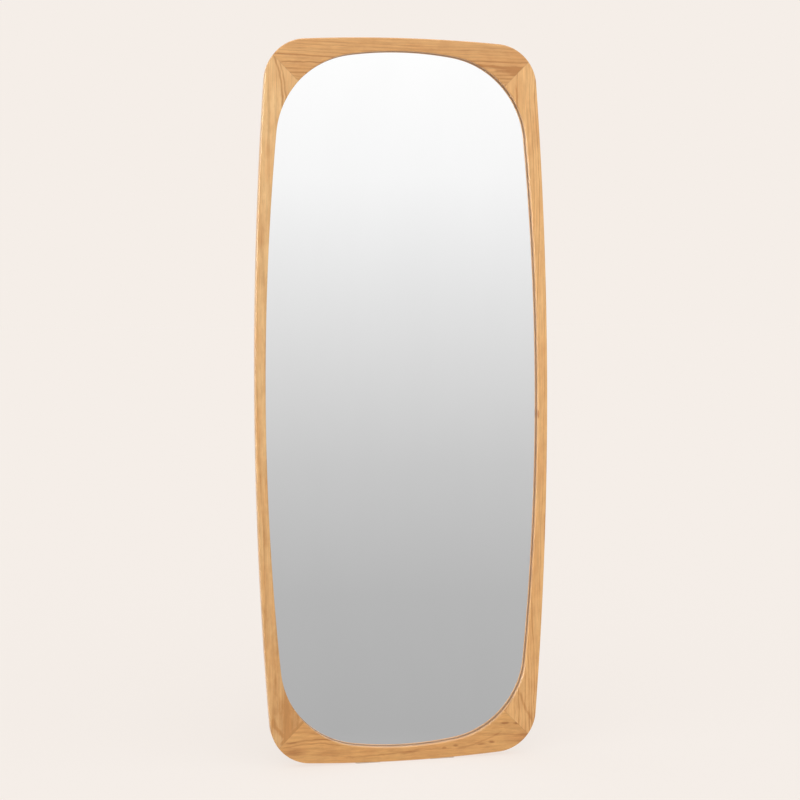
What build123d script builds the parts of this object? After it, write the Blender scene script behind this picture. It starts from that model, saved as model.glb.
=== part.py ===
from build123d import *
import os
from math import sqrt

# Full-length mirror in a mitred solid-wood frame, stood on the floor and leant on a wall, or
# hung by two D-rings. Millimetres. +Z is up, the glass faces -Y, and the origin is on the
# floor under the middle of the whole mirror. Depths run backwards from the front face.

# Outer edge of the frame, and the sight opening that shows the glass
FRAME_HALF_W = 350.0
FRAME_HALF_H = 850.0
FRAME_SIDE_BULGE = 36.0
FRAME_END_BULGE = 17.0
FRAME_CORNER_R = 98.0
SIGHT_HALF_W = 326.0
SIGHT_HALF_H = 818.0
SIGHT_SIDE_BULGE = 51.5
SIGHT_END_BULGE = 68.0
SIGHT_CORNER_R = 206.0
SIGHT_LIFT = 2.0  # the opening is this much above the frame's middle: the bottom rail is deeper

# Thickness of the layers, front to back
FRAME_DEPTH = 30.0
LEDGE = 14.0
TAPE_THICK = 1.0
GLASS_THICK = 4.0
FILM_THICK = 0.3
FOAM_THICK = 1.7
PANEL_THICK = 4.0
BUMPER_THICK = 8.0

# Edges of the layers, measured outwards from the sight opening
TAPE_INNER = 0.5
TAPE_OUTER = 6.5
FILM_OUTER = 7.0
FOAM_INNER = -12.0
GLASS_OUTER = 8.0
GLASS_REBATE = 9.5
PANEL_SCREW_LINE = 12.75
PANEL_OUTER = 16.0
PANEL_REBATE = 16.5

# Softened edges
FRONT_ARRIS = 3.0
BACK_ARRIS = 1.5

# Loose tenons, two across each mitre
TENON_LENGTH = 36.0
TENON_WIDTH = 22.0
TENON_THICK = 6.0
TENON_X = (268.0, 289.0)

# Rubber blocks under the glass, and the thinner spacers that centre it
BLOCK_X = 150.0
BLOCK_LENGTH = 60.0
SPACER_Z = 500.0
SPACER_LENGTH = 25.0
WINDOW = 60.0  # comfortably wider than the gap round the glass

# Countersunk screws of the back panel
PANEL_SCREW_R = 1.5
PANEL_SCREW_HEAD_R = 2.75
PANEL_SCREW_LENGTH = 16.0
PANEL_SCREW_Z = (-560.0, -280.0, 0.0, 280.0, 560.0)
PANEL_SCREW_X = (-140.0, 0.0, 140.0)

# D-ring hangers: a strap curled round the straight bar of a wire ring, and two screws
HANGER_X = 306.0
HANGER_Z = 738.0  # the ring's bar above the frame's middle
STRAP_THICK = 1.2
STRAP_WIDTH = 16.0
STRAP_LENGTH = 58.0
STRAP_RAMP = 6.0
STRAP_RISE = 0.6
STRAP_END_R = 7.0
STRAP_HOLE_R = 2.1
RING_WIRE_R = 1.6
RING_HALF_W = 11.6
RING_LEG = 11.0
RING_CORNER_R = 3.0
BAR_CLEARANCE = 0.08
HANGER_SCREW_DROP = (32.0, 49.0)  # below the ring's bar
HANGER_SCREW_R = 1.75
HANGER_SCREW_HEAD_R = 3.5
HANGER_SCREW_HEAD = 2.2
HANGER_SCREW_CROWN_R = 2.2
HANGER_SCREW_RIM = 0.9
HANGER_SCREW_LENGTH = 18.0

# Screw points and the crossed driver slots
POINT_LENGTH = 3.0
CROSS_LENGTH = 3.0
CROSS_WIDTH = 0.8
CROSS_DEPTH = 0.8

# Felt wall bumpers and rubber floor pads
BUMPER_R = 10.0
BUMPER_EDGE_R = 1.0
BUMPER_X = 296.0
BUMPER_Z = 788.0
FLOOR_CLEARANCE = 0.8  # under the lowest point of the bottom rail
PAD_X = 90.0
PAD_LENGTH = 60.0
PAD_FRONT = 3.5
PAD_BACK = 28.4
PAD_CORNER_R = 4.0
PAD_STOCK = 12.0

# Worked out from the above
FRONT_Y = -(FRAME_DEPTH + BUMPER_THICK) / 2
BACK_Y = FRONT_Y + FRAME_DEPTH
MIDDLE_Z = FLOOR_CLEARANCE + FRAME_HALF_H
MITRE_Z = FRAME_HALF_H - FRAME_HALF_W  # where the 45 degree mitre lines meet the centre line
GLASS_FRONT = LEDGE + TAPE_THICK
GLASS_BACK = GLASS_FRONT + GLASS_THICK
FILM_BACK = GLASS_BACK + FILM_THICK
PANEL_FRONT = FILM_BACK + FOAM_THICK
PANEL_BACK = PANEL_FRONT + PANEL_THICK
BORE_R = RING_WIRE_R + BAR_CLEARANCE
CURL_R = BORE_R + STRAP_THICK
BAR_Y = BACK_Y + CURL_R + STRAP_RISE
BAR_Z = MIDDLE_Z + HANGER_Z

SIDES = (("left", -1), ("right", 1))
ENDS = (("bottom", -1), ("top", 1))
CORNERS = [(f"{end}_{side}", x, z) for end, z in ENDS for side, x in SIDES]


def arc_radius(half_chord, bulge):
    """Radius of an arc that rises by bulge over a chord of twice half_chord."""
    return (half_chord**2 + bulge**2) / (2 * bulge)


def barrel(half_w, half_h, side_bulge, end_bulge, corner_r, grow=0.0, lift=0.0):
    """The overlap of two wide side discs and an end disc, its upper half mirrored downwards,
    with corners rounded, grown evenly."""
    side_r = arc_radius(half_h, side_bulge) + grow
    end_r = arc_radius(half_w, end_bulge) + grow
    side_x = half_w + grow - side_r
    end_z = half_h + grow - end_r
    across = Plane((0, lift, 0), z_dir=(0, 1, 0))
    with BuildSketch() as outline:
        with Locations(Location((side_x, lift), 180)):
            Circle(side_r)
        with Locations((-side_x, lift)):
            Circle(side_r, mode=Mode.INTERSECT)
        with Locations((0, lift + end_z)):
            Circle(end_r, mode=Mode.INTERSECT)
        split(bisect_by=across)
        mirror(about=across)
        fillet(outline.vertices(), corner_r + grow)
    return outline.sketch


def sight(grow):
    """The sight opening's outline, grown evenly."""
    return barrel(
        SIGHT_HALF_W,
        SIGHT_HALF_H,
        SIGHT_SIDE_BULGE,
        SIGHT_END_BULGE,
        SIGHT_CORNER_R,
        grow,
        SIGHT_LIFT,
    )


def on_arc(half_span, half_chord, bulge, grow, along):
    """How far the grown sight outline stands from its middle, this far along one of its arcs."""
    radius = arc_radius(half_chord, bulge) + grow
    return half_span + grow - radius + sqrt(radius**2 - along**2)


def layer(depth):
    """The plane at this depth behind the front face, facing forwards."""
    return Plane((0, FRONT_Y + depth, MIDDLE_Z), x_dir=(1, 0, 0), z_dir=(0, -1, 0))


def screws(profile, places, cross_at=None):
    """Screws turned from one profile of radius and height, one pointing forwards at each place."""
    with BuildPart() as screw:
        with BuildSketch(Plane.XZ):
            with BuildLine():
                Polyline(*profile, close=True)
            make_face()
        revolve(axis=Axis.Z)
        if cross_at is not None:
            with Locations((0, 0, cross_at)):
                Box(CROSS_LENGTH, CROSS_WIDTH, 2 * CROSS_DEPTH, mode=Mode.SUBTRACT)
                Box(CROSS_WIDTH, CROSS_LENGTH, 2 * CROSS_DEPTH, mode=Mode.SUBTRACT)
    with BuildPart() as group:
        with Locations(*[Plane(place, z_dir=(0, 1, 0)) for place in places]):
            add(screw.part)
    return group.part


def save(part, name):
    """Label a finished piece and write it."""
    part.label = name
    export_step(part, f"parts/{name}.step")


os.makedirs("parts", exist_ok=True)

frame_outline = barrel(
    FRAME_HALF_W,
    FRAME_HALF_H,
    FRAME_SIDE_BULGE,
    FRAME_END_BULGE,
    FRAME_CORNER_R,
)

# Loose tenons, glued half into each member with their length square to the mitre
tenon_pairs = []
for corner, x, z in CORNERS:
    with BuildPart() as tenon_pair:
        for tenon_x in TENON_X:
            middle = (x * tenon_x, FRONT_Y + FRAME_DEPTH / 2, MIDDLE_Z + z * (tenon_x + MITRE_Z))
            with BuildSketch(Plane(middle, x_dir=(x, 0, z), z_dir=(x, 0, -z))):
                SlotOverall(TENON_WIDTH, TENON_THICK)
            extrude(amount=TENON_LENGTH / 2, both=True)
    save(tenon_pair.part, f"tenons_{corner}")
    tenon_pairs.append(tenon_pair.part)

# Screws that hold the back panel in its rebate
panel_screw_profile = [
    (0, 0),
    (PANEL_SCREW_HEAD_R, 0),
    (PANEL_SCREW_R, PANEL_SCREW_R - PANEL_SCREW_HEAD_R),
    (PANEL_SCREW_R, POINT_LENGTH - PANEL_SCREW_LENGTH),
    (0, -PANEL_SCREW_LENGTH),
]
panel_screw_places = []
for along in PANEL_SCREW_Z:
    out = on_arc(SIGHT_HALF_W, SIGHT_HALF_H, SIGHT_SIDE_BULGE, PANEL_SCREW_LINE, along)
    for side in (-1, 1):
        panel_screw_places.append((side * out, FRONT_Y + PANEL_BACK, MIDDLE_Z + SIGHT_LIFT + along))
for along in PANEL_SCREW_X:
    out = on_arc(SIGHT_HALF_H, SIGHT_HALF_W, SIGHT_END_BULGE, PANEL_SCREW_LINE, along)
    for end in (-1, 1):
        panel_screw_places.append((along, FRONT_Y + PANEL_BACK, MIDDLE_Z + SIGHT_LIFT + end * out))
panel_screw_holes = screws(panel_screw_profile, panel_screw_places)
save(screws(panel_screw_profile, panel_screw_places, cross_at=0), "panel_screws")

# Round-headed screws of the two hangers
hanger_screw_profile = [
    (0, HANGER_SCREW_HEAD),
    (HANGER_SCREW_CROWN_R, HANGER_SCREW_HEAD),
    (HANGER_SCREW_HEAD_R, HANGER_SCREW_RIM),
    (HANGER_SCREW_HEAD_R, 0),
    (HANGER_SCREW_R, 0),
    (HANGER_SCREW_R, POINT_LENGTH - HANGER_SCREW_LENGTH),
    (0, -HANGER_SCREW_LENGTH),
]
hanger_screw_holes = []
for name, side in SIDES:
    places = [
        (side * HANGER_X, BACK_Y + STRAP_THICK, BAR_Z - drop) for drop in HANGER_SCREW_DROP
    ]
    hanger_screw_holes.append(screws(hanger_screw_profile, places))
    pair = screws(hanger_screw_profile, places, cross_at=HANGER_SCREW_HEAD)
    save(pair, f"hanger_screws_{name}")

# The frame as one ring, rebated from the back, mortised and drilled
with BuildPart() as frame_ring:
    with BuildSketch(layer(FRAME_DEPTH)):
        add(frame_outline)
        add(sight(0), mode=Mode.SUBTRACT)
    extrude(amount=FRAME_DEPTH)
    with BuildSketch(layer(FRAME_DEPTH)):
        add(sight(PANEL_REBATE))
    extrude(amount=FRAME_DEPTH - PANEL_FRONT, mode=Mode.SUBTRACT)
    with BuildSketch(layer(PANEL_FRONT)):
        add(sight(GLASS_REBATE))
    extrude(amount=PANEL_FRONT - LEDGE, mode=Mode.SUBTRACT)
    fillet(frame_ring.faces().sort_by(Axis.Y)[0].edges(), FRONT_ARRIS)
    fillet(frame_ring.faces().sort_by(Axis.Y)[-1].outer_wire().edges(), BACK_ARRIS)
    add(tenon_pairs, mode=Mode.SUBTRACT)
    add(panel_screw_holes, mode=Mode.SUBTRACT)
    add(hanger_screw_holes, mode=Mode.SUBTRACT)

# Its four members, parted along the mitres. Each wedge reaches past the frame's corners.
CORNER = (2 * FRAME_HALF_W, 2 * FRAME_HALF_W + MITRE_Z)
WEDGES = {
    "top_rail": [(0, MITRE_Z), CORNER, (-CORNER[0], CORNER[1])],
    "bottom_rail": [(0, -MITRE_Z), (CORNER[0], -CORNER[1]), (-CORNER[0], -CORNER[1])],
    "left_stile": [(0, -MITRE_Z), (0, MITRE_Z), (-CORNER[0], CORNER[1]), (-CORNER[0], -CORNER[1])],
    "right_stile": [(0, -MITRE_Z), (0, MITRE_Z), CORNER, (CORNER[0], -CORNER[1])],
}
for name, wedge in WEDGES.items():
    with BuildPart() as member:
        add(frame_ring.part)
        with BuildSketch(layer(FRAME_DEPTH)):
            Polygon(*wedge, align=None)
        extrude(amount=FRAME_DEPTH, mode=Mode.INTERSECT)
    save(member.part, name)

# Foam tape that the glass is bedded on, behind the ledge
with BuildPart() as glazing_tape:
    with BuildSketch(layer(GLASS_FRONT)):
        add(sight(TAPE_OUTER))
        add(sight(TAPE_INNER), mode=Mode.SUBTRACT)
    extrude(amount=TAPE_THICK)
save(glazing_tape.part, "glazing_tape")

with BuildPart() as mirror_glass:
    with BuildSketch(layer(GLASS_BACK)):
        add(sight(GLASS_OUTER))
    extrude(amount=GLASS_THICK)
save(mirror_glass.part, "mirror_glass")

with BuildPart() as safety_film:
    with BuildSketch(layer(FILM_BACK)):
        add(sight(FILM_OUTER))
    extrude(amount=FILM_THICK)
save(safety_film.part, "safety_film")

# Foam strip that the back panel presses on the glass
with BuildPart() as foam_strip:
    with BuildSketch(layer(PANEL_FRONT)):
        add(sight(FILM_OUTER))
        add(sight(FOAM_INNER), mode=Mode.SUBTRACT)
    extrude(amount=FOAM_THICK)
save(foam_strip.part, "foam_strip")

# Blocks and spacers fill short lengths of the gap between the glass and its rebate
with BuildSketch() as block_windows:
    with Locations((-BLOCK_X, -SIGHT_HALF_H), (BLOCK_X, -SIGHT_HALF_H)):
        Rectangle(BLOCK_LENGTH, WINDOW)
with BuildSketch() as spacer_windows:
    with Locations((-BLOCK_X, SIGHT_HALF_H), (BLOCK_X, SIGHT_HALF_H)):
        Rectangle(SPACER_LENGTH, WINDOW)
    with GridLocations(2 * SIGHT_HALF_W, 2 * SPACER_Z, 2, 2):
        Rectangle(WINDOW, SPACER_LENGTH)
for name, windows in (("setting_blocks", block_windows), ("edge_spacers", spacer_windows)):
    with BuildPart() as packing:
        with BuildSketch(layer(GLASS_BACK)):
            add(sight(GLASS_REBATE))
            add(sight(GLASS_OUTER), mode=Mode.SUBTRACT)
            add(windows.sketch, mode=Mode.INTERSECT)
        extrude(amount=GLASS_THICK)
    save(packing.part, name)

with BuildPart() as back_panel:
    with BuildSketch(layer(PANEL_BACK)):
        add(sight(PANEL_OUTER))
    extrude(amount=PANEL_THICK)
    add(panel_screw_holes, mode=Mode.SUBTRACT)
save(back_panel.part, "back_panel")

# Hangers
for name, side in SIDES:
    # Looking along +X with the strap's length to the right and the wood underneath
    side_view = Plane((side * HANGER_X, BACK_Y, BAR_Z), x_dir=(0, 0, -1), z_dir=(1, 0, 0))
    with BuildPart() as strap:
        with BuildSketch(side_view):
            Polygon(
                (0, STRAP_RISE),
                (STRAP_RAMP, 0),
                (STRAP_LENGTH, 0),
                (STRAP_LENGTH, STRAP_THICK),
                (STRAP_RAMP, STRAP_THICK),
                (0, STRAP_RISE + STRAP_THICK),
                align=None,
            )
            with Locations((0, CURL_R + STRAP_RISE)):
                Circle(CURL_R)
                Circle(BORE_R, mode=Mode.SUBTRACT)
        extrude(amount=STRAP_WIDTH / 2, both=True)
        fillet(strap.edges().filter_by(Axis.Y).group_by(Axis.Z)[0], STRAP_END_R)
        screw_tops = [
            Plane((side * HANGER_X, BACK_Y + STRAP_THICK, BAR_Z - drop), z_dir=(0, 1, 0))
            for drop in HANGER_SCREW_DROP
        ]
        with Locations(*screw_tops):
            Hole(STRAP_HOLE_R, depth=STRAP_THICK)
    save(strap.part, f"hanger_strap_{name}")

    # The ring hangs down from its bar, in front of the strap
    ring_view = Plane((side * HANGER_X, BAR_Y, BAR_Z), x_dir=(1, 0, 0), z_dir=(0, -1, 0))
    with BuildPart() as ring:
        with BuildLine(ring_view) as half_ring:
            FilletPolyline(
                (0, 0),
                (RING_HALF_W, 0),
                (RING_HALF_W, -RING_LEG),
                radius=RING_CORNER_R,
            )
            JernArc((RING_HALF_W, -RING_LEG), (0, -1), RING_HALF_W, -90)
        with BuildSketch(Plane(ring_view.origin, z_dir=(1, 0, 0))):
            Circle(RING_WIRE_R)
        sweep(path=half_ring.line)
        mirror(about=Plane.YZ.offset(side * HANGER_X))
    save(ring.part, f"hanger_ring_{name}")

# Bumpers that keep the frame and its hangers off the wall
for corner, x, z in CORNERS:
    with BuildPart() as bumper:
        with BuildSketch(Plane((x * BUMPER_X, BACK_Y, MIDDLE_Z + z * BUMPER_Z), z_dir=(0, 1, 0))):
            Circle(BUMPER_R)
        extrude(amount=BUMPER_THICK)
        fillet(bumper.edges().sort_by(Axis.Y)[-1], BUMPER_EDGE_R)
    save(bumper.part, f"wall_bumper_{corner}")

# Pads that fill the gap under the curved bottom edge and give it a level footing
for name, side in SIDES:
    with BuildPart() as pad:
        with BuildSketch(layer(PAD_BACK)):
            with Locations((side * PAD_X, -MIDDLE_Z)):
                Rectangle(PAD_LENGTH, PAD_STOCK, align=(Align.CENTER, Align.MIN))
            add(frame_outline, mode=Mode.SUBTRACT)
        extrude(amount=PAD_BACK - PAD_FRONT)
        fillet(pad.edges().filter_by(Axis.Z), PAD_CORNER_R)
    save(pad.part, f"floor_pad_{name}")
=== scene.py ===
from math import atan2, cos, hypot, pi, radians, sin, sqrt

import bmesh
import bpy
import numpy as np
from mathutils import Euler, Matrix, Vector


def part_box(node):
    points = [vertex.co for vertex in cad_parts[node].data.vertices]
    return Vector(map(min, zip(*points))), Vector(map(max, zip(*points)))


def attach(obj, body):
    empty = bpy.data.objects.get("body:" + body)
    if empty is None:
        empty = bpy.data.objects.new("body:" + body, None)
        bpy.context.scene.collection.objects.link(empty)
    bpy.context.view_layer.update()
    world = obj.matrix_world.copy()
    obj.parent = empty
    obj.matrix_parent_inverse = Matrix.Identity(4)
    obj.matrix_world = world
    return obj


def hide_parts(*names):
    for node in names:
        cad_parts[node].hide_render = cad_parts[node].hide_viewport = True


# Full-length mirror in a frame of four mitred wooden members. Metres, in the CAD model's frame:
# +Z is up, the glass faces -Y, and the origin is on the floor under the middle of the mirror.

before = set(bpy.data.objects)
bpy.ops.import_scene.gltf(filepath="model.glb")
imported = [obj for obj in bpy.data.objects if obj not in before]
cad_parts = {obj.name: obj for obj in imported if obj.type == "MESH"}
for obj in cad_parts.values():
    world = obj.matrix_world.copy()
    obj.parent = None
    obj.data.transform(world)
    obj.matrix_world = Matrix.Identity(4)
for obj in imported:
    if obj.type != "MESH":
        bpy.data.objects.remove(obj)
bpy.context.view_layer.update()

# Sizes read from the frame
LOW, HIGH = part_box("right_stile")
GLASS_LOW, GLASS_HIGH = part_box("mirror_glass")
FRONT_Y = LOW.y
FRAME_DEPTH = HIGH.y - LOW.y
FRAME_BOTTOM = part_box("bottom_rail")[0].z
FRAME_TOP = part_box("top_rail")[1].z
FRAME_MIDDLE = (FRAME_TOP + FRAME_BOTTOM) / 2
HALF_HEIGHT = (FRAME_TOP - FRAME_BOTTOM) / 2
HALF_WIDTH = HIGH.x

# Outer edge of the frame and the sight opening: how far the arcs bulge, and the corner radii
FRAME_SIDE_BULGE = 0.036
FRAME_END_BULGE = 0.017
FRAME_CORNER = 0.098
SIGHT_HALF_WIDTH = 0.326
SIGHT_HALF_HEIGHT = 0.818
SIGHT_SIDE_BULGE = 0.0515
SIGHT_END_BULGE = 0.068
SIGHT_CORNER = 0.206
SIGHT_LIFT = 0.002
MITRE_RISE = 0.5  # the mitre lines meet the frame's centre line this far from its middle

# Section of a member: depths behind the front face, and edges outwards from the sight opening
LEDGE = 0.014
REBATE_STEP = 0.021
GLASS_REBATE = 0.0095
PANEL_REBATE = 0.0165
GLASS_OUTER = 0.008
FRONT_ARRIS = 0.003
BACK_ARRIS = 0.0015
GLASS_ARRIS = 0.0006
# Painted shade: from this depth back to the glass the sight wall is coloured darker, as the shade
# in the recess
PAINTED_SHADE_FROM = 0.0075  # how deep the browner part of the sight wall starts
PAINTED_SHADE_BLEND = 0.0015
KEEP_FLAT = 0.0005  # a row of points this far from an arris keeps the wall beside it flat

SMOOTH_ANGLE = radians(30)  # faces that meet at less than this are shaded as one surface


# ---------------------------------------------------------------- outlines


def arc_radius(half_chord, bulge):
    """Radius of an arc by its half chord c and its rise b: (c^2 + b^2) / 2b."""
    return (half_chord**2 + bulge**2) / (2 * bulge)


class Barrel:
    """A barrel outline, told by the direction that its edge faces.

    A quarter of it is a side arc, a corner arc and an end arc. The point that faces angle a is
    centre + (radius + grow) * (cos a, sin a), with the centre and radius of the arc that a is on,
    so growing the outline only lengthens the radii.
    """

    def __init__(self, half_width, half_height, side_bulge, end_bulge, corner_radius, lift=0.0):
        side_radius = arc_radius(half_height, side_bulge)
        end_radius = arc_radius(half_width, end_bulge)
        side = np.array((half_width - side_radius, 0.0))
        end = np.array((0.0, half_height - end_radius))
        # The corner's centre: where circles about the two others cross, nearer the frame's corner
        apart = end - side
        gap = hypot(*apart)
        from_side = side_radius - corner_radius
        from_end = end_radius - corner_radius
        along = (from_side**2 - from_end**2 + gap**2) / (2 * gap)
        across = sqrt(from_side**2 - along**2)
        unit = apart / gap
        corner = side + along * unit + across * np.array((-unit[1], unit[0]))
        self.centres = np.array((side, corner, end))
        self.radii = np.array((side_radius, corner_radius, end_radius))
        self.side_turn = atan2(*(corner - side)[::-1])
        self.end_turn = atan2(*(corner - end)[::-1])
        self.lift = lift

    def points(self, facing, grow):
        """x and z of the points that face these angles, with the outline grown by grow."""
        quarter = np.arctan2(np.abs(np.sin(facing)), np.abs(np.cos(facing)))
        arc = np.searchsorted((self.side_turn, self.end_turn), quarter)
        reach = self.radii[arc] + grow
        x = self.centres[arc, 0] + reach * np.cos(quarter)
        z = self.centres[arc, 1] + reach * np.sin(quarter)
        return np.sign(np.cos(facing)) * x, FRAME_MIDDLE + self.lift + np.sign(np.sin(facing)) * z

    def mitre_facing(self, end, grow):
        """The direction faced where a corner arc crosses the top (1) or bottom (-1) mitre line.

        With radius R and the corner's centre (x, z), the line z = x + MITRE_RISE is crossed where
        sin(a - 45 degrees) is its distance from the centre over R.
        """
        x, z = self.centres[1]
        offset = x + MITRE_RISE - end * self.lift - z
        return pi / 4 + np.arcsin(offset / (sqrt(2) * (self.radii[1] + grow)))


FRAME_EDGE = Barrel(
    HALF_WIDTH, HALF_HEIGHT, FRAME_SIDE_BULGE, FRAME_END_BULGE, FRAME_CORNER
)
SIGHT_EDGE = Barrel(
    SIGHT_HALF_WIDTH,
    SIGHT_HALF_HEIGHT,
    SIGHT_SIDE_BULGE,
    SIGHT_END_BULGE,
    SIGHT_CORNER,
    SIGHT_LIFT,
)


# ---------------------------------------------------------------- meshes


def skin(name, points, closed_along=False):
    """A closed mesh through a grid of points, rows round it and columns along it.

    The rows close on themselves. The two ends of the columns meet, or each gets one flat face.
    """
    index = np.arange(points.shape[0] * points.shape[1]).reshape(points.shape[:2])
    below = np.roll(index, -1, axis=0)
    quads = (index, below, np.roll(below, -1, axis=1), np.roll(index, -1, axis=1))
    quads = np.stack(quads, axis=-1)
    if closed_along:
        faces = quads.reshape(-1, 4).tolist()
    else:
        faces = quads[:, :-1].reshape(-1, 4).tolist()
        faces += [index[:, 0].tolist(), index[:, -1].tolist()]
    mesh = bpy.data.meshes.new(name)
    mesh.from_pydata(points.reshape(-1, 3), [], faces)
    work = bmesh.new()
    work.from_mesh(mesh)
    bmesh.ops.recalc_face_normals(work, faces=work.faces)
    work.to_mesh(mesh)
    work.free()
    mesh.shade_smooth()
    mesh.set_sharp_from_angle(angle=SMOOTH_ANGLE)
    piece = bpy.data.objects.new(name, mesh)
    bpy.context.scene.collection.objects.link(piece)
    return piece


def stand_for(piece, node, body, slot, *materials):
    """The piece takes the CAD node's place, on its body, with its finish."""
    for material in materials:
        piece.data.materials.append(material)
    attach(piece, body)
    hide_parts(node)


# ---------------------------------------------------------------- material nodes


def tone(red, green, blue):
    """A colour given in display values from 0 to 255, as the linear colour that a node takes."""
    shown = np.array((red, green, blue)) / 255
    linear = np.where(shown <= 0.04045, shown / 12.92, ((shown + 0.055) / 1.055) ** 2.4)
    return (*linear, 1.0)


NOISE_SPAN = (0.3, 0.7)  # where smooth noise mostly lies


class Nodes:
    """Short ways to add shader nodes to a tree."""

    def __init__(self, tree):
        self.tree = tree

    def feed(self, socket, value):
        """A socket takes another node's output, or a plain value."""
        if isinstance(value, bpy.types.NodeSocket):
            self.tree.links.new(value, socket)
        else:
            socket.default_value = value

    def add(self, kind, inputs, **settings):
        """A node with these settings, its inputs given by name or number."""
        node = self.tree.nodes.new("ShaderNode" + kind)
        for setting, value in settings.items():
            setattr(node, setting, value)
        for socket, value in inputs.items():
            self.feed(node.inputs[socket], value)
        return node

    def math(self, operation, *values):
        """The result of a sum on plain values."""
        inputs = dict(enumerate(values))
        return self.add("Math", inputs, operation=operation).outputs["Value"]

    def vector(self, operation, output, *values):
        """The result of a sum on vectors: its "Vector" or its "Value"."""
        inputs = dict(enumerate(values))
        return self.add("VectorMath", inputs, operation=operation).outputs[output]

    def span(self, value, low, high, to_low=0.0, to_high=1.0, kind="SMOOTHSTEP"):
        """The value's place between low and high, as a value between to_low and to_high."""
        inputs = {
            "Value": value,
            "From Min": low,
            "From Max": high,
            "To Min": to_low,
            "To Max": to_high,
        }
        return self.add("MapRange", inputs, interpolation_type=kind).outputs["Result"]

    def mix(self, factor, first, second):
        """The first colour where the factor is 0, the second where it is 1."""
        inputs = {0: factor, 6: first, 7: second}
        return self.add("Mix", inputs, data_type="RGBA").outputs[2]


class Finish(Nodes):
    """A material with one principled shader, and the patterns that feed it."""

    def __init__(self, name, **sockets):
        self.material = bpy.data.materials.new(name)
        self.material.use_nodes = True
        super().__init__(self.material.node_tree)
        self.shader = self.tree.nodes["Principled BSDF"]
        for socket, value in sockets.items():
            self.set(socket.replace("_", " "), value)

    def set(self, socket, value):
        """One of the principled shader's own sockets."""
        self.feed(self.shader.inputs[socket], value)

    def place(self):
        """The point on the piece, in metres."""
        return self.add("TexCoord", {}).outputs["Object"]

    def noise(self, vector, factors, seed, detail=2.0, roughness=0.5, output="Fac"):
        """Smooth noise from 0 to 1, with its grain this many times finer than a metre each way."""
        inputs = {
            "Vector": self.vector("MULTIPLY", "Vector", vector, factors),
            "W": seed,
            "Scale": 1.0,
            "Detail": detail,
            "Roughness": roughness,
        }
        return self.add("TexNoise", inputs, noise_dimensions="4D").outputs[output]

    def sway(self, vector, factors, seed, amount):
        """The vector moved to and fro by smooth noise, by up to half of amount each way."""
        noise = self.noise(vector, factors, seed, output="Color")
        off = self.vector("SUBTRACT", "Vector", noise, (0.5, 0.5, 0.5))
        return self.vector("MULTIPLY_ADD", "Vector", off, amount, vector)

    def shade(self, colour, factor):
        """The colour made lighter or darker by a factor that varies over the piece."""
        node = self.add("VectorMath", {0: colour, "Scale": factor}, operation="SCALE")
        return node.outputs["Vector"]

    def bump(self, height, strength, distance):
        """Relief in the surface's shading, this many metres high."""
        inputs = {"Height": height, "Strength": strength, "Distance": distance}
        self.set("Normal", self.add("Bump", inputs).outputs["Normal"])


# ---------------------------------------------------------------- camera, light and floor

CAMERA_PLACE = Vector((-0.764, -3.665, 1.081))
CAMERA_YAW = radians(11.68)
CAMERA_DOWN = radians(3.387)
CAMERA_ROLL = radians(-0.23)
CAMERA_LENS = 71.55  # millimetres
CAMERA_SENSOR = 36.0

FLOOR_REACH = 80.0
FLOOR_TONE = tone(245, 238, 232)
FLOOR_SHARE = 0.25  # of the floor's tone that the room's light gives; it glows with the rest
FLOOR_TOOTH = 0.002

KEY_FROM = Vector((-0.3, -0.87, 0.39)).normalized()
KEY_LIGHT = 0.5
ROOM_LIGHT = 0.74
# Bright panels that only gloss shows: the way to each, how wide it is, the heights that it
# lies between, and how bright it is
PANELS = (
    (Vector((-0.95, -0.31, 0.0)).normalized(), radians(24), (-0.045, 0.25), 19.0),
    (Vector((0.1, -0.3, 0.95)).normalized(), radians(30), (0.5, 1.1), 5.0),
)
PANEL_SOFTNESS = 0.05
PANEL_FRINGE = 1.2  # the light of a panel fades out between its half angle and this many times it
BACKDROP_BLEND = 0.1  # how far round to the back the grey walls give way to the backdrop

# What the mirror sees: how light the studio is, by how far up or down the view runs
STUDIO_GREY = (
    (-0.75, 0.80),
    (-0.45, 0.62),
    (-0.26, 0.43),
    (-0.18, 0.475),
    (-0.10, 0.58),
    (0.0, 0.765),
    (0.08, 0.93),
    (0.155, 1.0),
)


def place_camera():
    """Left of the mirror's middle, a little above it, looking slightly down."""
    data = bpy.data.cameras.new("camera")
    data.lens = CAMERA_LENS
    data.sensor_width = CAMERA_SENSOR
    camera = bpy.data.objects.new("camera", data)
    bpy.context.scene.collection.objects.link(camera)
    aim = Euler((pi / 2 - CAMERA_DOWN, 0.0, -CAMERA_YAW)).to_matrix().to_4x4()
    roll = Matrix.Rotation(CAMERA_ROLL, 4, "Z")
    camera.matrix_world = Matrix.Translation(CAMERA_PLACE) @ aim @ roll
    bpy.context.scene.camera = camera


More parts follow.
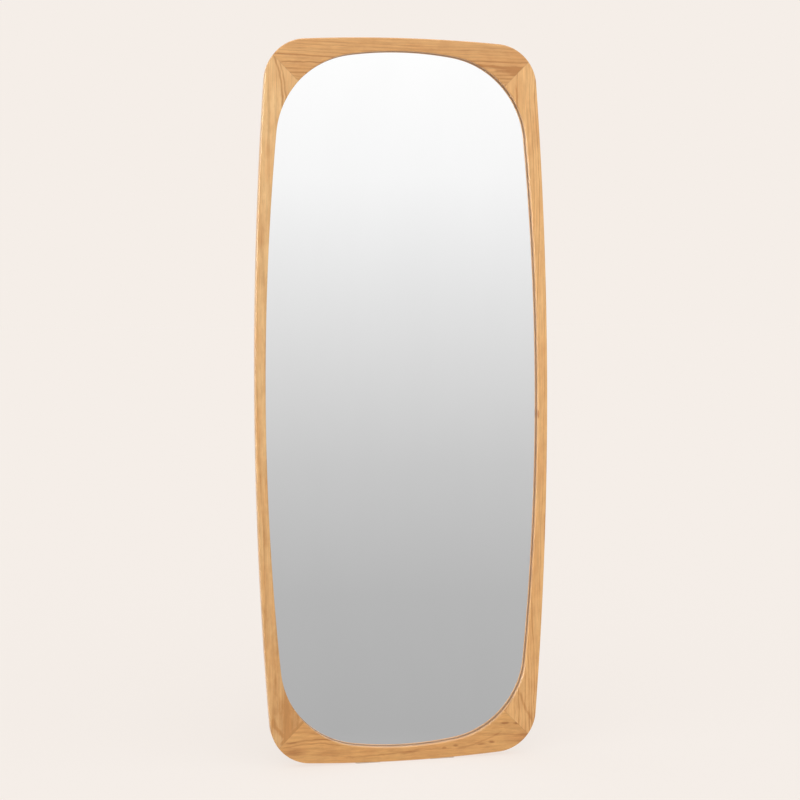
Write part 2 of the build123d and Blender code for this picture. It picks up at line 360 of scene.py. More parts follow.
def light_studio():
    """A soft light from the front, upper left.

    The light from direction d is ROOM + KEY (d . KEY_FROM). A surface that faces n then gets
    ROOM + 2/3 KEY (n . KEY_FROM). Glossy surfaces see grey walls in front that darken towards the
    floor, the pale backdrop behind, and the bright panels.
    """
    world = bpy.data.worlds.new("studio")
    bpy.context.scene.world = world
    world.use_nodes = True
    room = Nodes(world.node_tree)
    direction = room.add("TexCoord", {}).outputs["Generated"]
    toward_key = room.vector("DOT_PRODUCT", "Value", direction, KEY_FROM)
    soft_light = room.math("MULTIPLY_ADD", toward_key, KEY_LIGHT, ROOM_LIGHT)
    height = room.add("SeparateXYZ", {0: direction}).outputs["Z"]
    heights, greys = zip(*STUDIO_GREY)
    low, high = heights[0], heights[-1]
    walls = room.add("ValToRGB", {0: room.span(height, low, high, kind="LINEAR")})
    ramp = walls.color_ramp
    for at in heights[1:-1]:
        ramp.elements.new((at - low) / (high - low))
    for stop, grey in zip(ramp.elements, greys):
        stop.color = (grey, grey, grey, 1.0)
    behind = room.span(room.add("SeparateXYZ", {0: direction}).outputs["Y"], 0.0, BACKDROP_BLEND)
    seen = room.mix(behind, walls.outputs["Color"], FLOOR_TONE)
    for panel, half_angle, (bottom, top), light in PANELS:
        toward_panel = room.vector("DOT_PRODUCT", "Value", direction, panel)
        glow = room.span(toward_panel, cos(half_angle * PANEL_FRINGE), cos(half_angle))
        glow = room.math("MULTIPLY", glow, room.span(height, bottom, bottom + PANEL_SOFTNESS))
        glow = room.math("MULTIPLY", glow, room.span(height, top - PANEL_SOFTNESS, top, 1.0, 0.0))
        seen = room.mix(glow, seen, (light, light, light, 1.0))
    ray = room.add("LightPath", {}).outputs
    before_diffuse = room.span(ray["Diffuse Depth"], 0.0, 1.0, 1.0, 0.0)
    first_gloss = room.math("MULTIPLY", ray["Is Glossy Ray"], before_diffuse)
    lit = room.mix(first_gloss, soft_light, seen)
    lit = room.mix(ray["Is Camera Ray"], lit, FLOOR_TONE)
    room.feed(world.node_tree.nodes["Background"].inputs["Color"], lit)


def floor_finish():
    """Pale seamless paper with a barely visible tooth, lit from below to the tone of the room."""
    finish = Finish("studio_floor", Roughness=1.0, Specular_IOR_Level=0.0)
    tooth = finish.noise(finish.place(), (3, 3, 3), 1.0, detail=3)
    albedo = Vector(FLOOR_TONE[:3]) * FLOOR_SHARE
    level = finish.span(tooth, *NOISE_SPAN, 1 - FLOOR_TOOTH, 1 + FLOOR_TOOTH)
    finish.set("Base Color", finish.shade(albedo, level))
    from_above = ROOM_LIGHT + 2 / 3 * KEY_LIGHT * KEY_FROM.z
    finish.set("Emission Color", FLOOR_TONE)
    finish.set("Emission Strength", 1 - FLOOR_SHARE * from_above)
    return finish.material


def lay_floor():
    """A wide level sheet under the mirror that glossy surfaces don't see."""
    reach = FLOOR_REACH
    corners = [(-reach, -reach, 0), (reach, -reach, 0), (reach, reach, 0), (-reach, reach, 0)]
    mesh = bpy.data.meshes.new("studio_floor")
    mesh.from_pydata(corners, [], [(0, 1, 2, 3)])
    mesh.materials.append(floor_finish())
    floor = bpy.data.objects.new("studio_floor", mesh)
    bpy.context.scene.collection.objects.link(floor)
    floor.visible_glossy = False


# ---------------------------------------------------------------- wood

WARM_WOOD = tone(210, 147, 82)
# The colour of the painted shade on the back half of the sight wall
PAINTED_SHADE_WOOD = tone(158, 112, 62)

# Patterns along the log: how many times finer than a metre each way, what they add to the board's
# seed, and their detail and roughness
FIBRE = ((430, 430, 12), 2, 4, 0.65)
STREAK = ((240, 240, 5), 3, 4, 0.65)
PORE = ((1500, 1500, 60), 4, 1, 0.5)
CLOUD = ((66, 66, 27), 5, 4, 0.65)
WARMTH = ((34, 34, 9), 6, 3, 0.5)
STREAK_DEPTH = 0.30
CLOUD_DEPTH = 0.26
DARKEST = 1.3  # the most that the tones may add up to
WARMEST = 0.4
FIBRE_LEVELS = (1.09, 0.90)
PORE_DEPTH = 0.12
SATIN = (0.44, 0.56)  # roughness of the light and the dark wood
# How much rougher the wood is where the painted shade lies
PAINTED_SHADE_ROUGHNESS = 0.25

# How the rings wander: patterns, what they add to the seed, and how far they move a point
RING_SWAYS = (
    ((2.2, 2.2, 1.3), 0, 0.05),
    ((30, 30, 8), 1, 0.007),
    ((70, 70, 26), 7, 0.0035),
)
RING_UNEVENNESS = 1.1
LATE_WOOD = (0.45, 0.86)  # the part of a ring over which it darkens
VEIN_SWAY = ((45, 45, 45), 8, 0.007)
FLECK_REACH = 0.02  # how deep a fleck runs into the wood
GLUE_LINE = (0.0005, 0.0018)
GLUE_TONE = 0.88


def wood_finish(name, pith, lean, ring, lines, light, dark, seed, fade, veins=(), flecks=()):
    """Satin oiled wood cut from a log whose pith runs past the member.

    The tone follows the growth rings: the distance from the pith, over the ring's width, gives
    a count, and each ring ends in a thin dark line. Streaks, fibres, pores and clouds run with
    the log, veins and flecks are put on one by one, and the tone deepens steadily from one end of
    the board to the other. The back half of the sight wall gets painted shade, a darker brown.
    """
    finish = Finish(name, Specular_IOR_Level=0.5, Coat_Weight=0.35, Coat_Roughness=0.2)
    place = finish.place()
    log_inputs = {"Vector": place, "Location": pith, "Rotation": lean}
    log = finish.add("Mapping", log_inputs, vector_type="TEXTURE").outputs["Vector"]

    fibre, streak, pore, cloud, warmth = (
        finish.noise(log, factors, seed + more, detail, roughness)
        for factors, more, detail, roughness in (FIBRE, STREAK, PORE, CLOUD, WARMTH)
    )

    streak = finish.span(streak, 0.35, 0.75)
    cloud = finish.span(cloud, 0.35, 0.7)
    darkness = finish.math("MULTIPLY", ring_tone(finish, log, ring, seed), lines)
    darkness = finish.math("MULTIPLY_ADD", streak, STREAK_DEPTH, darkness)
    darkness = finish.math("MULTIPLY_ADD", cloud, CLOUD_DEPTH, darkness)
    darkness = finish.math("ADD", darkness, fade_along(finish, place, *fade))
    factors, more, amount = VEIN_SWAY
    wavy = finish.sway(place, factors, seed + more, (amount, 0.0, amount))
    for vein in veins:
        darkness = finish.math("ADD", darkness, vein_tone(finish, wavy, *vein))
    for fleck in flecks:
        darkness = finish.math("ADD", darkness, fleck_tone(finish, wavy, *fleck))

    colour = finish.mix(finish.math("MINIMUM", darkness, DARKEST), light, dark)
    colour = finish.mix(finish.span(warmth, 0.4, 0.75, 0.0, WARMEST), colour, WARM_WOOD)
    # Painted shade: the sight wall's back half, next to the glass, is mixed towards a darker brown
    painted_shade = finish.add("Attribute", {}, attribute_name="painted_shade").outputs["Fac"]
    colour = finish.mix(painted_shade, colour, PAINTED_SHADE_WOOD)
    pore = finish.span(pore, 0.60, 0.72)
    level = finish.span(fibre, *NOISE_SPAN, *FIBRE_LEVELS)
    level = finish.math("MULTIPLY", level, finish.math("MULTIPLY_ADD", pore, -PORE_DEPTH, 1.0))
    level = finish.math("MULTIPLY", level, mitre_line(finish, place))
    finish.set("Base Color", finish.shade(colour, level))
    satin = finish.span(darkness, 0.0, 1.0, *SATIN)
    finish.set("Roughness", finish.math("MULTIPLY_ADD", painted_shade, PAINTED_SHADE_ROUGHNESS, satin))
    relief = finish.math("MULTIPLY_ADD", fibre, 0.5, finish.math("MULTIPLY", pore, -0.6))
    finish.bump(relief, 0.25, 0.0002)
    return finish.material


def ring_tone(finish, log, ring, seed):
    """How dark the growth rings make each point, from 0 to 1.

    The pith wanders and the rings ripple. The count of rings outwards is uneven, each ring
    darkens towards its end, and some rings are darker than others.
    """
    wood = log
    for factors, more, amount in RING_SWAYS:
        wood = finish.sway(wood, factors, seed + more, (amount, amount, 0.0))
    out = finish.vector("LENGTH", "Value", finish.vector("MULTIPLY", "Vector", wood, (1, 1, 0)))
    count = finish.math("DIVIDE", out, ring)
    uneven = {"W": finish.math("MULTIPLY", count, 0.45), "Scale": 1.0}
    uneven = finish.add("TexNoise", uneven, noise_dimensions="1D").outputs["Fac"]
    count = finish.math("MULTIPLY_ADD", uneven, RING_UNEVENNESS, count)
    part = finish.math("FRACT", count)
    which = {"W": finish.math("ADD", finish.math("FLOOR", count), seed)}
    which = finish.add("TexWhiteNoise", which, noise_dimensions="1D").outputs["Value"]
    start, darkest = LATE_WOOD
    late = finish.span(part, start, darkest)
    late = finish.math("MULTIPLY", late, finish.span(part, darkest, 1.0, 1.0, 0.0))
    return finish.math("MULTIPLY", late, finish.span(which, 0.0, 1.0, 0.1, 1.0))


def vein_tone(finish, place, start, end, bend, width, depth):
    """A dark line in the grain, bowed sideways by bend between two points given by x and z.

    With t the share of the way along and s the distance to the side, the line is where
    s = 4 bend t (1 - t). It fades out at width from there and towards both ends.
    """
    (x0, z0), (x1, z1) = start, end
    length = hypot(x1 - x0, z1 - z0)
    ux, uz = (x1 - x0) / length, (z1 - z0) / length
    offset = finish.vector("SUBTRACT", "Vector", place, (x0, 0.0, z0))
    t = finish.vector("DOT_PRODUCT", "Value", offset, (ux / length, 0.0, uz / length))
    s = finish.vector("DOT_PRODUCT", "Value", offset, (-uz, 0.0, ux))
    bow = finish.math("MULTIPLY", t, finish.math("SUBTRACT", 1.0, t))
    away = finish.math("ABSOLUTE", finish.math("MULTIPLY_ADD", bow, -4 * bend, s))
    line = finish.span(away, 0.0, width, depth, 0.0)
    return finish.math("MULTIPLY", line, finish.span(bow, 0.0, 0.12))


def fleck_tone(finish, place, centre, size, depth):
    """A dark fleck: depth at its centre, fading out where the offset over its size reaches 1."""
    (x, z), (wide, high) = centre, size
    offset = finish.vector("SUBTRACT", "Vector", place, (x, FRONT_Y, z))
    offset = finish.vector("DIVIDE", "Vector", offset, (wide, FLECK_REACH, high))
    away = finish.vector("LENGTH", "Value", offset)
    return finish.span(away, 0.2, 1.0, depth, 0.0)


def mitre_line(finish, place):
    """A mitre's glue line, a little darker, along the plane |z - middle| = |x| + MITRE_RISE."""
    parts = finish.add("SeparateXYZ", {0: place}).outputs
    up = finish.math("ABSOLUTE", finish.math("SUBTRACT", parts["Z"], FRAME_MIDDLE))
    out = finish.math("ADD", finish.math("ABSOLUTE", parts["X"]), MITRE_RISE)
    gap = finish.math("ABSOLUTE", finish.math("SUBTRACT", up, out))
    return finish.span(gap, *GLUE_LINE, GLUE_TONE, 1.0)


def fade_along(finish, place, axis, low_tone, high_tone):
    """A steady change of tone from the member's low end to its high end, along X or Z."""
    ends = {"X": (-HALF_WIDTH, HALF_WIDTH), "Z": (FRAME_BOTTOM, FRAME_TOP)}[axis]
    along = finish.add("SeparateXYZ", {0: place}).outputs[axis]
    return finish.span(along, *ends, low_tone, high_tone, kind="LINEAR")


# Along each member: quarter turns from +X to the way that it faces, the ends its mitres are at
# (1 top, -1 bottom) in the direction of turn, and the steps of its long arc
MEMBERS = {
    "right_stile": (0, -1, 1, 120),
    "top_rail": (1, 1, 1, 60),
    "left_stile": (2, 1, -1, 120),
    "bottom_rail": (3, -1, -1, 60),
}
CORNER_STEPS = 28
ARRIS_STEPS = 8


def member_facings(edge, grow, quarter, low_end, high_end, steps):
    """The directions faced along one member's edge, from mitre to mitre, a row for each growth.

    They run evenly over the first corner arc, the long arc, and the last corner arc.
    """
    is_stile = quarter % 2 == 0
    to_corner = edge.side_turn if is_stile else pi / 2 - edge.end_turn
    low, high = (edge.mitre_facing(end, grow) for end in (low_end, high_end))
    if not is_stile:
        low, high = pi / 2 - low, pi / 2 - high
    corner = np.linspace(0, 1, CORNER_STEPS + 1)
    first = -low[:, None] + corner[:-1] * (low[:, None] - to_corner)
    middle = np.tile(np.linspace(-to_corner, to_corner, steps + 1), (len(grow), 1))
    last = to_corner + corner[1:] * (high[:, None] - to_corner)
    return quarter * pi / 2 + np.concatenate((first, middle, last), axis=1)


def wood_section():
    """Once round a member's section, from the outer front arris inwards.

    Each row is the share of the way from the frame's edge to the sight edge, the growth of the
    one and of the other, the depth, and how much painted shade it gets (the darker back half of
    the sight wall). An arris of radius r runs through r (1 - cos a) inwards and r (1 - sin a) deep,
    for a from 0 to 90 degrees.
    """
    turn = np.linspace(0, pi / 2, ARRIS_STEPS + 1)
    r = FRONT_ARRIS
    b = BACK_ARRIS
    face = (0.03, 0.25, 0.5, 0.75)
    rows = [(0, -r * (1 - cos(a)), 0, r * (1 - sin(a)), 0) for a in turn]
    rows += [(share, -r, r, 0, 0) for share in (*face, 1 - face[0])]
    rows += [(1, 0, r * (1 - cos(a)), r * (1 - sin(a)), 0) for a in turn[::-1]]
    # The last number of each wall row is how much painted shade it gets
    walls = (
        (0, r + KEEP_FLAT, 0),
        (0, PAINTED_SHADE_FROM, 0),
        (0, PAINTED_SHADE_FROM + PAINTED_SHADE_BLEND, 1),
        (0, LEDGE - KEEP_FLAT, 1),
        (0, LEDGE, 1),
        (GLASS_REBATE, LEDGE, 1),
        (GLASS_REBATE, REBATE_STEP, 0),
        (PANEL_REBATE, REBATE_STEP, 0),
        (PANEL_REBATE, FRAME_DEPTH, 0),
    )
    rows += [(1, 0, *wall) for wall in walls]
    rows += [(share, -b, PANEL_REBATE, FRAME_DEPTH, 0) for share in face[::-1]]
    rows += [(0, -b * (1 - cos(a)), 0, FRAME_DEPTH - b * (1 - sin(a)), 0) for a in turn[::-2]]
    outside = (FRAME_DEPTH - b - KEEP_FLAT, FRAME_DEPTH / 2, r + KEEP_FLAT)
    rows += [(0, 0, 0, depth, 0) for depth in outside]
    return np.array(rows).T


def make_member(name, material):
    """One mitred member: the section carried along the frame's edge and the sight edge."""
    share, frame_grow, sight_grow, depth, painted_shade = wood_section()
    (frame_x, frame_z), (sight_x, sight_z) = (
        edge.points(member_facings(edge, grow, *MEMBERS[name]), grow[:, None])
        for edge, grow in ((FRAME_EDGE, frame_grow), (SIGHT_EDGE, sight_grow))
    )
    share = share[:, None]
    x = (1 - share) * frame_x + share * sight_x
    z = (1 - share) * frame_z + share * sight_z
    y = np.broadcast_to(FRONT_Y + depth[:, None], x.shape)
    piece = skin(name + "_wood", np.stack((x, y, z), axis=-1))
    # Painted shade: a point attribute that darkens the sight wall's back half in the wood's
    # material
    attribute = piece.data.attributes.new("painted_shade", "FLOAT", "POINT")
    attribute.data.foreach_set("value", np.repeat(painted_shade, x.shape[1]))
    stand_for(piece, name, "mirror", "wood_" + name, material)


# Veins: two points, bow, width and depth of tone. Flecks: centre, half size and depth of tone.
make_member("top_rail", wood_finish(
    "oiled_wood_top_rail",
    pith=(0.0, 0.06, FRAME_TOP + 0.09),
    lean=(0.0, pi / 2 + 0.012, 0.0),
    ring=0.0070,
    lines=0.8,
    light=tone(223, 170, 106),
    dark=tone(174, 116, 58),
    seed=3.0,
    fade=("X", -0.02, 0.06),
    veins=(
        ((0.160, 1.643), (0.312, 1.638), -0.001, 0.0045, 1.1),
        ((0.215, 1.631), (0.302, 1.634), 0.001, 0.0080, 0.55),
        ((-0.300, 1.637), (-0.170, 1.638), 0.002, 0.0030, 0.6),
    ),
    flecks=(((0.275, 1.628), (0.034, 0.016), 0.6),),
))
make_member("bottom_rail", wood_finish(
    "oiled_wood_bottom_rail",
    pith=(0.0, 0.05, FRAME_BOTTOM - 0.02),
    lean=(0.0, pi / 2 + 0.02, 0.06),
    ring=0.010,
    lines=0.35,
    light=tone(218, 164, 97),
    dark=tone(168, 109, 54),
    seed=14.0,
    fade=("X", 0.06, 0.0),
    veins=(
        ((-0.300, 0.055), (-0.120, 0.050), 0.011, 0.0035, 0.6),
        ((-0.296, 0.047), (-0.150, 0.046), 0.009, 0.0030, 0.5),
        ((-0.160, 0.020), (0.060, 0.030), -0.006, 0.0030, 0.45),
        ((-0.020, 0.016), (0.120, 0.024), 0.004, 0.0030, 0.4),
        ((0.120, 0.022), (0.240, 0.060), -0.006, 0.0035, 0.4),
    ),
    flecks=(
        ((-0.262, 0.038), (0.044, 0.012), 0.55),
        ((-0.180, 0.030), (0.060, 0.010), 0.35),
        ((0.095, 0.027), (0.008, 0.004), 0.9),
        ((0.122, 0.030), (0.009, 0.004), 0.8),
        ((0.186, 0.030), (0.016, 0.004), 0.6),
        ((0.211, 0.033), (0.011, 0.006), 0.8),
        ((0.244, 0.078), (0.014, 0.004), 0.9),
        ((0.275, 0.076), (0.013, 0.004), 0.8),
        ((0.290, 0.040), (0.044, 0.022), 0.35),
    ),
))
make_member("left_stile", wood_finish(
    "oiled_wood_left_stile",
    pith=(-0.22, 0.10, FRAME_MIDDLE),
    lean=(0.02, 0.0, 0.0),
    ring=0.014,
    lines=0.3,
    light=tone(239, 197, 137),
    dark=tone(184, 129, 70),
    seed=25.0,
    fade=("Z", 0.44, -0.05),
    veins=(
        ((-0.306, 1.664), (-0.284, 1.525), 0.010, 0.0040, 0.7),
        ((-0.289, 1.645), (-0.275, 1.540), 0.005, 0.0035, 0.6),
        ((-0.316, 0.125), (-0.262, 0.062), -0.014, 0.0070, 0.35),
        ((-0.240, 0.114), (-0.302, 0.052), 0.000, 0.0060, 0.5),
    ),
    flecks=(
        ((-0.280, 0.130), (0.046, 0.080), 0.35),
        ((-0.258, 0.175), (0.020, 0.070), 0.30),
        ((-0.331, 1.240), (0.010, 0.060), 0.25),
        ((-0.322, 0.690), (0.010, 0.090), 0.25),
    ),
))
make_member("right_stile", wood_finish(
    "oiled_wood_right_stile",
    pith=(0.25, 0.03, FRAME_MIDDLE),
    lean=(0.0, 0.005, 0.0),
    ring=0.0060,
    lines=0.8,
    light=tone(238, 189, 125),
    dark=tone(186, 127, 66),
    seed=36.0,
    fade=("Z", 0.24, -0.08),
    veins=(
        ((0.272, 1.602), (0.277, 1.500), 0.001, 0.0030, 0.7),
        ((0.280, 0.155), (0.314, 0.078), -0.003, 0.0055, 0.38),
    ),
    flecks=(((0.326, 0.822), (0.004, 0.016), 0.9),),
))


# ---------------------------------------------------------------- mirror


def whole_outline(edge, grow, side_steps=80, corner_steps=24, end_steps=40):
    """x and z all round a barrel outline, with evenly spread steps on each arc."""
    s, e = edge.side_turn, edge.end_turn
    marks = (-s, s, e, pi - e, pi - s, pi + s, pi + e, 2 * pi - e, 2 * pi - s)
    steps = (side_steps, corner_steps, end_steps, corner_steps) * 2
    facing = np.concatenate([
        np.linspace(a, b, n, endpoint=False) for a, b, n in zip(marks, marks[1:], steps)
    ])
    return edge.points(facing, grow)


SILVER = ((0.985, 0.985, 0.985, 1.0), (0.995, 0.995, 0.995, 1.0))
SQUARE_ON = 0.9  # faces of the plate that face the front or the back more than this aren't its edge


def silver_finish():
    """Silvered glass, polished, with faint wipe marks in its gloss."""
    finish = Finish("silvered_glass", Metallic=1.0)
    wipe = finish.noise(finish.place(), (9, 9, 3), 50.0, detail=4)
    finish.set("Base Color", finish.mix(finish.span(wipe, *NOISE_SPAN), *SILVER))
    finish.set("Roughness", finish.span(wipe, 0.35, 0.75, 0.006, 0.016))
    return finish.material


def backing_finish():
    """Grey protective paint over the silver, with a slight orange peel."""
    finish = Finish("mirror_back_paint", Roughness=0.55)
    peel = finish.noise(finish.place(), (260, 260, 260), 51.0)
    finish.set("Base Color", finish.mix(peel, tone(96, 104, 108), tone(118, 126, 130)))
    finish.bump(peel, 0.2, 0.0002)
    return finish.material


def edge_finish():
    """The ground edge of clear glass, green in its depth."""
    finish = Finish("ground_glass_edge", Roughness=0.35, IOR=1.52)
    grind = finish.noise(finish.place(), (900, 900, 900), 52.0)
    finish.set("Base Color", finish.mix(grind, tone(128, 166, 150), tone(160, 192, 178)))
    finish.bump(grind, 0.3, 0.0001)
    return finish.material


def make_mirror():
    """A plate of glass with its silvered face to the front, ground edges and a painted back.

    Each row is how far the sight opening's outline is grown, and the depth that it lies at.
    """
    arris = GLASS_ARRIS
    rows = (
        (GLASS_OUTER - arris, GLASS_LOW.y),
        (GLASS_OUTER, GLASS_LOW.y + arris),
        (GLASS_OUTER, GLASS_HIGH.y - arris),
        (GLASS_OUTER - arris, GLASS_HIGH.y),
    )
    columns = []
    for grow, y in rows:
        x, z = whole_outline(SIGHT_EDGE, grow)
        columns.append(np.stack((x, np.full_like(x, y), z), axis=-1))
    plate = skin("mirror_plate", np.stack(columns, axis=1))
    finishes = (silver_finish(), edge_finish(), backing_finish())
    stand_for(plate, "mirror_glass", "mirror", "mirror_glass", *finishes)
    for face in plate.data.polygons:
        facing = face.normal.y
        face.material_index = 0 if facing < -SQUARE_ON else 2 if facing > SQUARE_ON else 1


# ---------------------------------------------------------------- back board and fittings

RING_BEND = 0.003

PAD_CORNER = 0.004
PAD_GROOVE = 0.0006
# Over a pad's profile, from the middle of its foot to the middle of its top: how much of its plan,
# how much of the groove's depth it is lifted by, and whether it lies on the rail
PAD_PROFILE = (
    (0.02, 0.0, 0),
    (0.30, 0.0, 0),
    (0.32, 1.0, 0),
    (0.38, 1.0, 0),
    (0.40, 0.0, 0),
    (0.60, 0.0, 0),
    (0.62, 1.0, 0),
    (0.68, 1.0, 0),
    (0.70, 0.0, 0),
    (0.90, 0.0, 0),
    (0.98, 0.0, 0),
    (1.00, 0.4, 0),
    (1.00, 0.0, 1),
    (0.985, 0.0, 1),
    (0.60, 0.0, 1),
    (0.02, 0.0, 1),
)


def hardboard_finish():
    """Brown hardboard: pressed fibres with clouds and dark specks."""
    finish = Finish("hardboard", Roughness=0.6)
    place = finish.place()
    fluff = finish.noise(place, (420, 420, 420), 60.0, detail=5, roughness=0.7)
    cloud = finish.noise(place, (7, 7, 7), 61.0, detail=4)
    speck = finish.span(finish.noise(place, (800, 800, 260), 62.0, detail=1), 0.62, 0.72)
    colour = finish.mix(finish.span(fluff, *NOISE_SPAN), tone(142, 104, 70), tone(168, 128, 90))
    colour = finish.shade(colour, finish.span(cloud, *NOISE_SPAN, 0.9, 1.08))
    colour = finish.mix(finish.math("MULTIPLY", speck, 0.5), colour, tone(92, 62, 38))
    finish.set("Base Color", colour)
    finish.set("Roughness", finish.span(cloud, *NOISE_SPAN, 0.48, 0.66))
    finish.bump(fluff, 0.3, 0.0003)
    return finish.material


DULLING = 0.07  # how much rougher the dull places of the metal are


def metal_finish(name, light, dark, roughness, seed):
    """Plated steel: fine random scratches and a little dulling in its gloss."""
    finish = Finish(name, Metallic=1.0)
    place = finish.place()
    scratch = finish.noise(place, (5200, 900, 900), seed, detail=3, roughness=0.6)
    dull = finish.noise(place, (260, 260, 260), seed + 1, detail=3)
    finish.set("Base Color", finish.mix(finish.span(dull, 0.3, 0.75), light, dark))
    rough = finish.span(dull, 0.3, 0.75, roughness, roughness + DULLING)
    finish.set("Roughness", finish.math("MULTIPLY_ADD", scratch, 0.08, rough))
    finish.bump(scratch, 0.08, 0.00005)
    return finish.material


def plain_finish(name, light, dark, roughness, grain, seed):
    """A matte moulded or foamed material, two tones mixed by its grain, which also roughens it."""
    finish = Finish(name, Roughness=roughness)
    fleck = finish.noise(finish.place(), (grain, grain, grain), seed, detail=3, roughness=0.6)
    finish.set("Base Color", finish.mix(finish.span(fleck, *NOISE_SPAN), light, dark))
    finish.set("Roughness", finish.span(fleck, *NOISE_SPAN, roughness - 0.06, roughness + 0.04))
    finish.bump(fleck, 0.3, 0.25 / grain)
    return finish.material


def felt_finish():
    """Dense grey-brown felt: tangled fibres that catch the light at the edge."""
    finish = Finish("bumper_felt", Roughness=0.95, Sheen_Weight=0.4, Sheen_Roughness=0.5)
    place = finish.place()
    tangle = finish.noise(place, (900, 900, 900), 90.0, detail=5, roughness=0.75)
    clump = finish.noise(place, (240, 240, 240), 91.0, detail=2)
    colour = finish.mix(finish.span(tangle, *NOISE_SPAN), tone(84, 78, 72), tone(132, 124, 114))
    finish.set("Base Color", finish.shade(colour, finish.span(clump, *NOISE_SPAN, 0.88, 1.1)))
    finish.bump(tangle, 0.6, 0.0006)
    return finish.material


def tenon_finish():
    """Pale compressed beech with short flecks along the tenon."""
    finish = Finish("tenon_beech", Roughness=0.6)
    place = finish.place()
    grain = finish.noise(place, (500, 500, 500), 95.0, detail=3)
    fleck = finish.span(finish.noise(place, (1200, 400, 400), 96.0, detail=1), 0.6, 0.7)
    colour = finish.mix(grain, tone(214, 184, 148), tone(192, 158, 120))
    colour = finish.mix(finish.math("MULTIPLY", fleck, 0.4), colour, tone(156, 116, 82))
    finish.set("Base Color", colour)
    finish.bump(grain, 0.2, 0.0002)
    return finish.material


def dress(material, *nodes):
    """CAD nodes whose shape is right keep it and take this material."""
    for node in nodes:
        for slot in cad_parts[node].material_slots:
            slot.material = material


CORNERS = ("bottom_left", "bottom_right", "top_left", "top_right")
SIDES = ("left", "right")

dress(hardboard_finish(), "back_panel")
dress(tenon_finish(), *("tenons_" + corner for corner in CORNERS))
dress(
    metal_finish("zinc_plate", tone(214, 212, 202), tone(182, 180, 168), 0.28, 70.0),
    "panel_screws",
)
dress(
    metal_finish("satin_nickel", tone(206, 202, 194), tone(192, 187, 178), 0.3, 72.0),
    *("hanger_strap_" + side for side in SIDES),
    *("hanger_screws_" + side for side in SIDES),
)
dress(
    plain_finish("glazing_tape", tone(26, 26, 26), tone(44, 44, 44), 0.9, 900.0, 80.0),
    "glazing_tape",
)
dress(
    plain_finish("foam_strip", tone(92, 92, 94), tone(128, 128, 130), 0.92, 700.0, 81.0),
    "foam_strip",
)
dress(
    plain_finish("packing_rubber", tone(40, 40, 40), tone(62, 62, 62), 0.8, 500.0, 82.0),
    "setting_blocks",
    "edge_spacers",
)
dress(
    plain_finish("safety_film", tone(190, 196, 200), tone(204, 210, 214), 0.4, 300.0, 83.0),
    "safety_film",
)

BUMPER_RIM = 0.0016  # radius of the bumpers' soft rim
BUMPER_FOOT = 0.0004  # chamfer at the glued face
BUMPER_EYE = 0.0006  # radius of the smallest ring of points, in the middle of the face
BUMPER_STEPS = 72
FUZZ_OUT = 0.00006
FUZZ_UP = 0.00007
FUZZ_SEEDS = {"bottom_left": 78, "bottom_right": 85, "top_left": 57, "top_right": 64}


def make_bumper(corner, material):
    """A felt disc with a soft rim, a little rough.

    Its profile runs up the side at the full radius R, round the rim through R - r + r cos t and
    thick - r + r sin t for t from 0 to 90 degrees, and in across the face. A point at angle a is
    the middle plus the profile's radius times (cos a, sin a), with random fuzz taken off.
    """
    low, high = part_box("wall_bumper_" + corner)
    middle = (low + high) / 2
    radius = (high.x - low.x) / 2
    thick = high.y - low.y
    rim = BUMPER_RIM
    turn = np.linspace(0, pi / 2, 7)
    out = np.concatenate((
        [radius - BUMPER_FOOT, radius],
        np.full(5, radius),
        radius - rim + rim * np.cos(turn),
        np.linspace(radius - rim, BUMPER_EYE, 14)[1:],
    ))
    up = np.concatenate((
        [0.0, BUMPER_FOOT],
        np.linspace(3 * BUMPER_FOOT, thick - rim - BUMPER_EYE, 5),
        thick - rim + rim * np.sin(turn),
        np.full(13, thick),
    ))
    angle = np.linspace(0, 2 * pi, BUMPER_STEPS, endpoint=False)
    fuzz = np.random.default_rng(FUZZ_SEEDS[corner]).normal(0, 1, (len(angle), len(out)))
    fuzz = np.abs(fuzz)
    fuzz[:, :2] = 0
    out = out - FUZZ_OUT * fuzz * (out > 0.8 * radius)
    up = up - FUZZ_UP * fuzz
    points = np.stack((
        middle.x + out * np.cos(angle)[:, None],
        low.y + up,
        middle.z + out * np.sin(angle)[:, None],
    ), axis=-1)
    piece = skin("felt_bumper_" + corner, points)
    stand_for(piece, "wall_bumper_" + corner, "mirror", "bumper_felt", material)


def straight_path(x, z, facing, steps):
    """Steps along a straight, given by its first and last x and z and the direction it faces."""
    return np.stack((
        np.linspace(*x, steps, endpoint=False),
        np.linspace(*z, steps, endpoint=False),
        np.full(steps, float(facing)),
    ))


def bent_path(x, z, radius, turn, steps):
    """Steps along an arc about x and z, given by the first and last direction that it faces."""
    facing = np.linspace(*turn, steps, endpoint=False)
    return np.stack((x + radius * np.cos(facing), z + radius * np.sin(facing), facing))


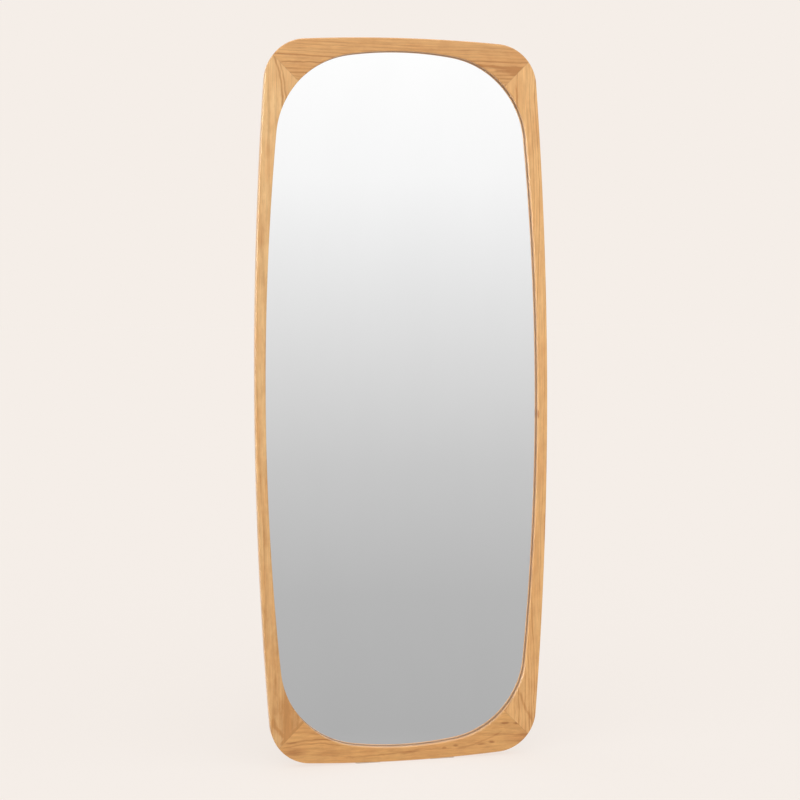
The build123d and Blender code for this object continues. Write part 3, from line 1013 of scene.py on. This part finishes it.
def make_ring(side, material):
    """A wire ring: a round section carried round a path of a bar, two legs and a half circle.

    With a the angle round the section and f the way that the path faces, a point is the path's
    point plus wire * (cos a cos f, sin a, cos a sin f).
    """
    node = "hanger_ring_" + side
    low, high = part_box(node)
    wire = (high.y - low.y) / 2
    middle = (low + high) / 2
    half = (high.x - low.x) / 2 - wire
    bend = RING_BEND
    top = high.z - wire
    bottom = low.z + wire + half
    path = (
        straight_path((bend - half, half - bend), (top, top), pi / 2, 24),
        bent_path(half - bend, top - bend, bend, (pi / 2, 0), 8),
        straight_path((half, half), (top - bend, bottom), 0, 12),
        bent_path(0, bottom, half, (0, -pi), 36),
        straight_path((-half, -half), (bottom, top - bend), pi, 12),
        bent_path(bend - half, top - bend, bend, (pi, pi / 2), 8),
    )
    x, z, facing = np.concatenate(path, axis=1)
    angle = np.linspace(0, 2 * pi, 24, endpoint=False)[:, None]
    out = wire * np.cos(angle)
    points = np.stack((
        middle.x + x + out * np.cos(facing),
        middle.y + wire * np.sin(angle) + 0 * x,
        z + out * np.sin(facing),
    ), axis=-1)
    piece = skin("wire_ring_" + side, points, closed_along=True)
    stand_for(piece, node, "ring_" + side, "ring_nickel", material)


def make_pad(side, material):
    """A rubber pad: a rounded oblong in plan, grooved below, whose top follows the curved rail.

    The plan's point at angle t is a corner's centre plus PAD_CORNER * (cos t, sin t), and the
    profile scales it. The rail's height at x is its lowest point plus R - sqrt(R^2 - x^2).
    """
    node = "floor_pad_" + side
    low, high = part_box(node)
    middle = (low + high) / 2
    half_x = (high.x - low.x) / 2
    half_y = (high.y - low.y) / 2
    turn = np.linspace(0, 2 * pi, 96, endpoint=False)
    plan_x = np.sign(np.cos(turn)) * (half_x - PAD_CORNER) + PAD_CORNER * np.cos(turn)
    plan_y = np.sign(np.sin(turn)) * (half_y - PAD_CORNER) + PAD_CORNER * np.sin(turn)
    scale, lift, on_rail = np.array(PAD_PROFILE).T
    x = middle.x + plan_x[:, None] * scale
    y = middle.y + plan_y[:, None] * scale
    rail_radius = arc_radius(HALF_WIDTH, FRAME_END_BULGE)
    rail_z = FRAME_BOTTOM + rail_radius - np.sqrt(rail_radius**2 - x**2)
    z = on_rail * rail_z + PAD_GROOVE * lift
    piece = skin("rubber_pad_" + side, np.stack((x, y, z), axis=-1))
    stand_for(piece, node, "mirror", "pad_rubber", material)


make_mirror()
felt = felt_finish()
for corner in CORNERS:
    make_bumper(corner, felt)
ring_nickel = metal_finish(
    "bright_nickel", tone(222, 218, 210), tone(196, 190, 180), 0.12, 76.0
)
pad_rubber = plain_finish(
    "pad_rubber", tone(196, 186, 172), tone(214, 204, 190), 0.6, 400.0, 84.0
)
for side in SIDES:
    make_ring(side, ring_nickel)
    make_pad(side, pad_rubber)

place_camera()
light_studio()
lay_floor()
bpy.context.scene.view_settings.view_transform = "Standard"
